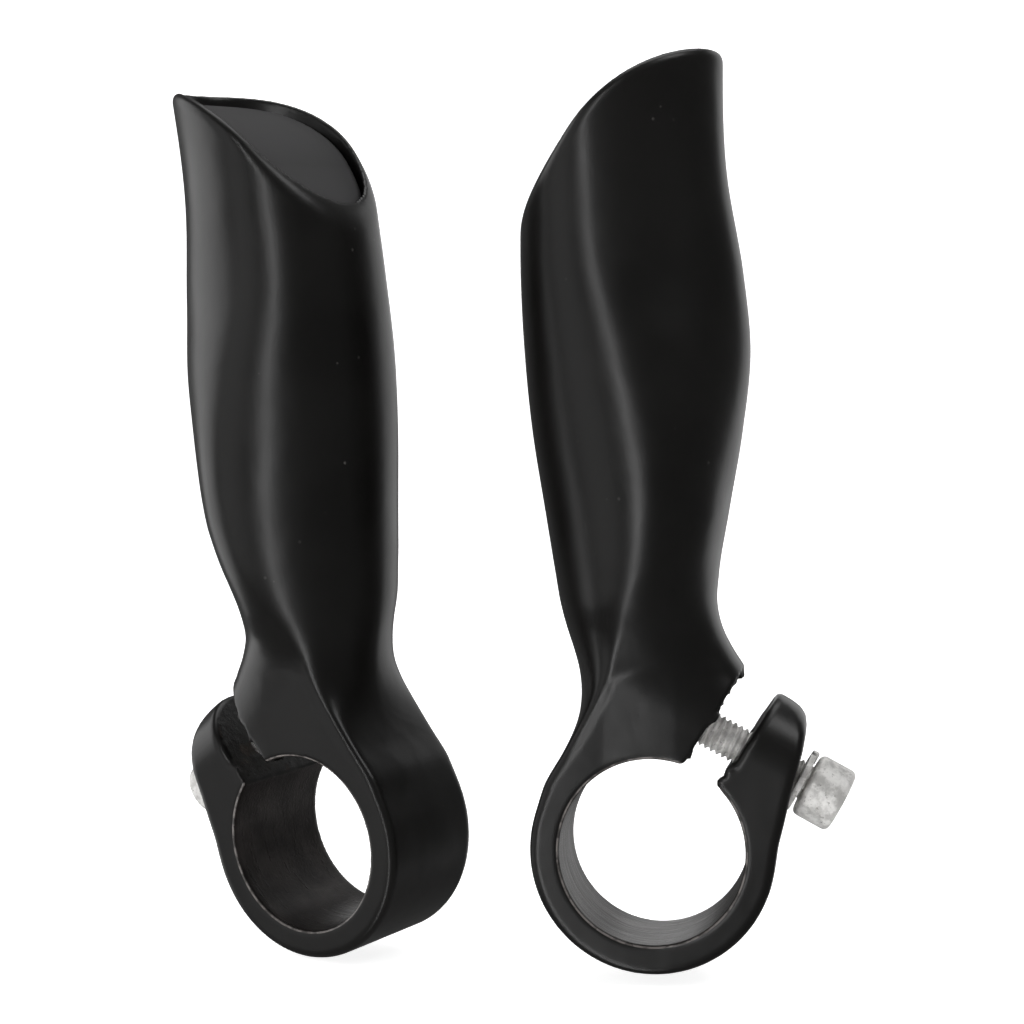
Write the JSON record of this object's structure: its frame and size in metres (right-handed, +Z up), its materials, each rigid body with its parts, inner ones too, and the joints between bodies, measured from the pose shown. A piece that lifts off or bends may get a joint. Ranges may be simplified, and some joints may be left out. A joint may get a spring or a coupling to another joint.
{
  "type": "bar end grips",
  "caption": "Pair of hollow ergonomic bar end grips with slanted capped mouths, each clamped on a handlebar end by a split ring and a socket head bolt.",
  "frame": {"origin": "centre of the right grip's clamp bore, on the casting's middle plane", "axes": "+Z up along the right grip, +Y along its clamp bore away from the viewer, +X towards its clamp bolt"},
  "size_m": [0.0907, 0.0372, 0.1162],
  "materials": {
    "satin_black": "satin black paint on cast aluminium",
    "matt_cap": "matt dark grey plastic",
    "zinc_steel": "mottled zinc plating, lightly scratched"
  },
  "bodies": {
    "right_grip": {"right_grip_casting": "satin_black"},
    "right_cap": {"right_end_cap": "matt_cap"},
    "right_washer": {"right_spring_washer": "zinc_steel"},
    "right_bolt": {"right_clamp_bolt": "zinc_steel"},
    "left_grip": {"left_grip_casting": "satin_black"},
    "left_cap": {"left_end_cap": "matt_cap"},
    "left_washer": {"left_spring_washer": "zinc_steel"},
    "left_bolt": {"left_clamp_bolt": "zinc_steel"}
  },
  "joints": [
    {"name": "right_cap_pull", "type": "slide", "parent": "right_grip", "child": "right_cap", "axis": [0, 0, 1], "range_m": [0, 0.038]},
    {"name": "right_bolt_feed", "type": "slide", "parent": "right_grip", "child": "right_washer", "axis": [0.8788, 0, -0.4772], "range_m": [-0.001, 0.0056]},
    {"name": "right_bolt_turn", "type": "hinge", "parent": "right_washer", "child": "right_bolt", "pos_m": [0.0062, 0, 0.0147], "axis": [0.8788, 0, -0.4772], "range_deg": [-451, 2521]},
    {"name": "pair_gap", "type": "slide", "parent": "right_grip", "child": "left_grip", "axis": [-1, 0, 0], "range_m": [0, 0.12]},
    {"name": "left_cap_pull", "type": "slide", "parent": "left_grip", "child": "left_cap", "axis": [-0.1336, -0.034, 0.9905], "range_m": [0, 0.038]},
    {"name": "left_bolt_feed", "type": "slide", "parent": "left_grip", "child": "left_washer", "axis": [-0.7095, 0.4239, -0.5629], "range_m": [-0.0002, 0.0062]},
    {"name": "left_bolt_turn", "type": "hinge", "parent": "left_washer", "child": "left_bolt", "pos_m": [-0.04992, 0.01028, 0.01342], "axis": [-0.7095, 0.4239, -0.5629], "range_deg": [-91, 2791]}
  ],
  "couplings": [
    {"joint": "right_bolt_turn", "follows": "right_bolt_feed", "rad_per_m": 7854},
    {"joint": "left_bolt_turn", "follows": "left_bolt_feed", "rad_per_m": 7854}
  ]
}
